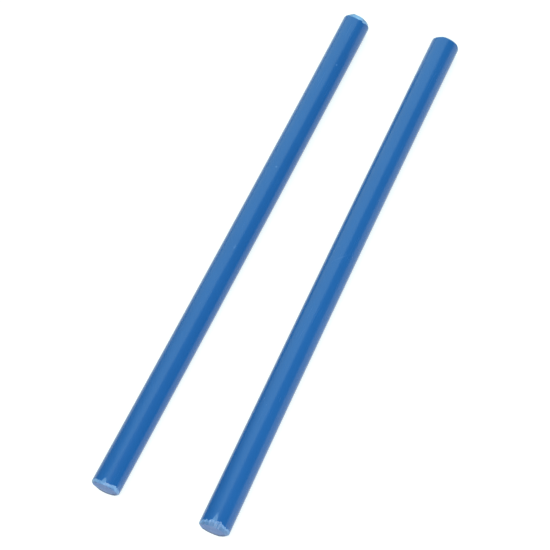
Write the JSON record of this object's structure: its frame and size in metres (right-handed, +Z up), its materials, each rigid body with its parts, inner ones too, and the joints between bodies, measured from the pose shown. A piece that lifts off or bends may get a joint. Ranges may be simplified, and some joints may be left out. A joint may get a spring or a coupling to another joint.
{
  "type": "training sticks",
  "caption": "Pair of plain, solid, round plastic focus training sticks with chamfered ends, lying side by side on a flat surface.",
  "frame": {"origin": "on the surface that the sticks lie on, below the middle of the pair", "axes": "+Y along the sticks from their near ends to their far ends, +X from the left stick to the right stick, +Z up"},
  "size_m": [0.153, 0.6102, 0.03],
  "materials": {
    "left_stick_plastic": "satin blue extruded plastic, with a paler, freshly machined chamfer and turned end faces",
    "right_stick_plastic": "satin blue extruded plastic, with a paler, freshly machined chamfer and turned end faces"
  },
  "bodies": {
    "left_stick": {"left_stick": "left_stick_plastic"},
    "right_stick": {"right_stick": "right_stick_plastic"}
  },
  "joints": [
    {"name": "right_stick_lift", "type": "slide", "parent": "left_stick", "child": "right_stick", "axis": [0, 0, 1], "range_m": [0, 0.3]}
  ]
}
